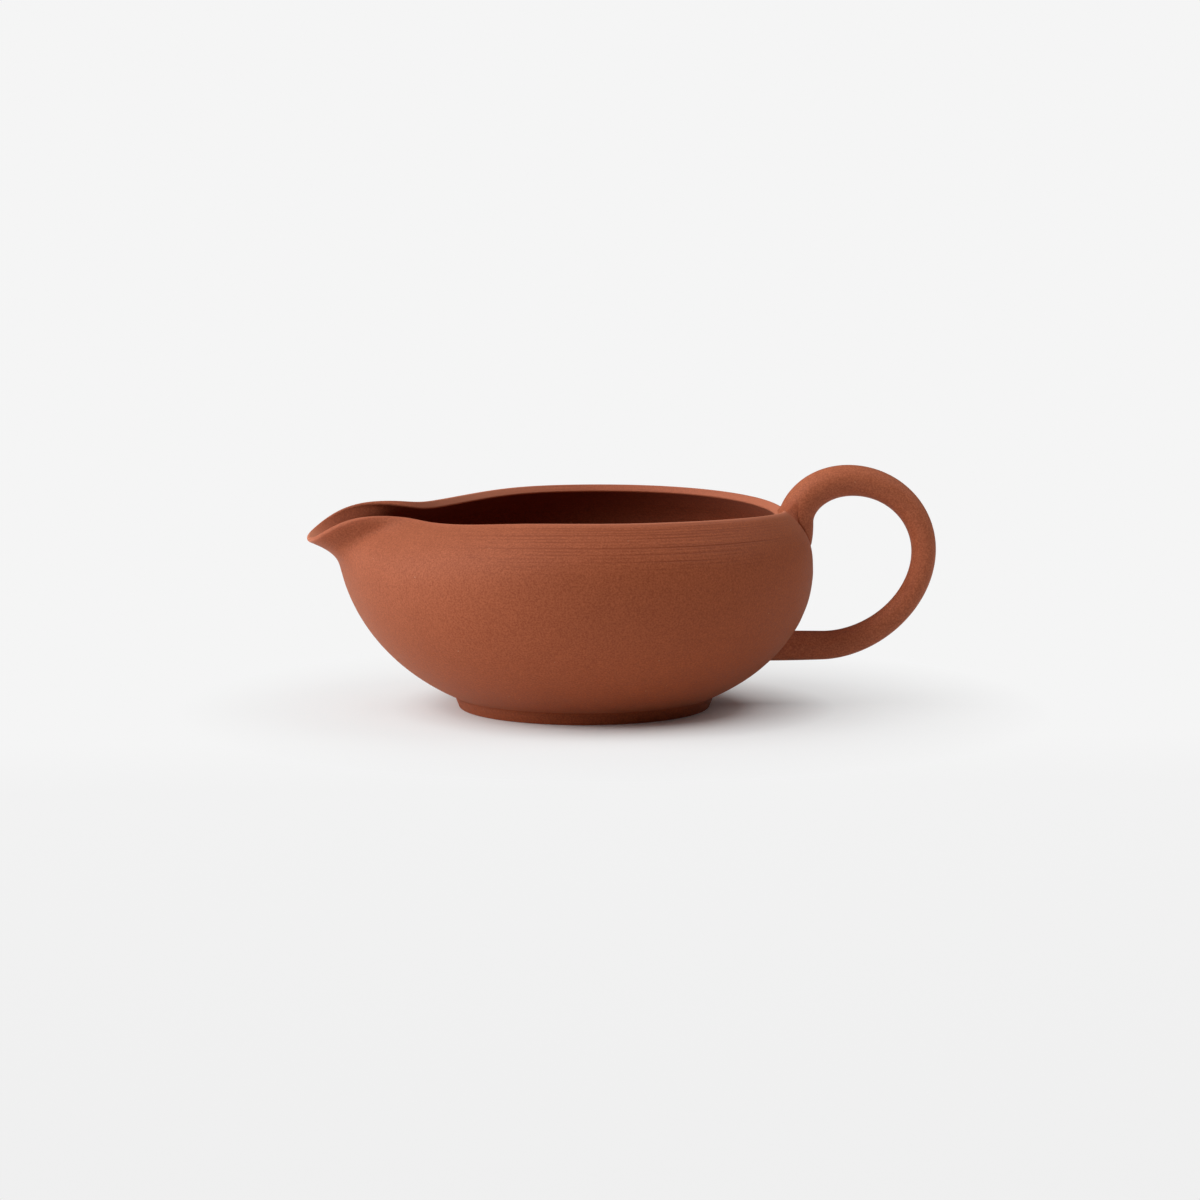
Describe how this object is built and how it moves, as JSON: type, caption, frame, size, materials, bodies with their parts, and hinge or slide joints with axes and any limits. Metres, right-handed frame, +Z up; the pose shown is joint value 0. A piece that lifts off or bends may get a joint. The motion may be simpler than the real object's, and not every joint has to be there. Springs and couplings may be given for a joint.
{
  "type": "tea water cooling pitcher",
  "caption": "Low round clay pitcher with a pulled spout and a coil side handle, for letting hot water cool before brewing tea.",
  "frame": {"origin": "centre of the bounding box in plan, on the plane that the foot ring stands on", "axes": "+Z up out of the bowl, +X from the spout towards the handle, +Y to the left of a person who holds the handle and pours"},
  "size_m": [0.1498, 0.1086, 0.0572],
  "materials": {
    "red_clay": "unglazed, matt, with fine throwing lines",
    "coil_clay": "unglazed, matt, smoothed by hand",
    "luting_slip": "unglazed, matt, wiped smooth"
  },
  "bodies": {
    "root": {"bowl": "red_clay", "handle": "coil_clay", "upper_slip_joint": "luting_slip", "lower_slip_joint": "luting_slip"}
  },
  "joints": []
}
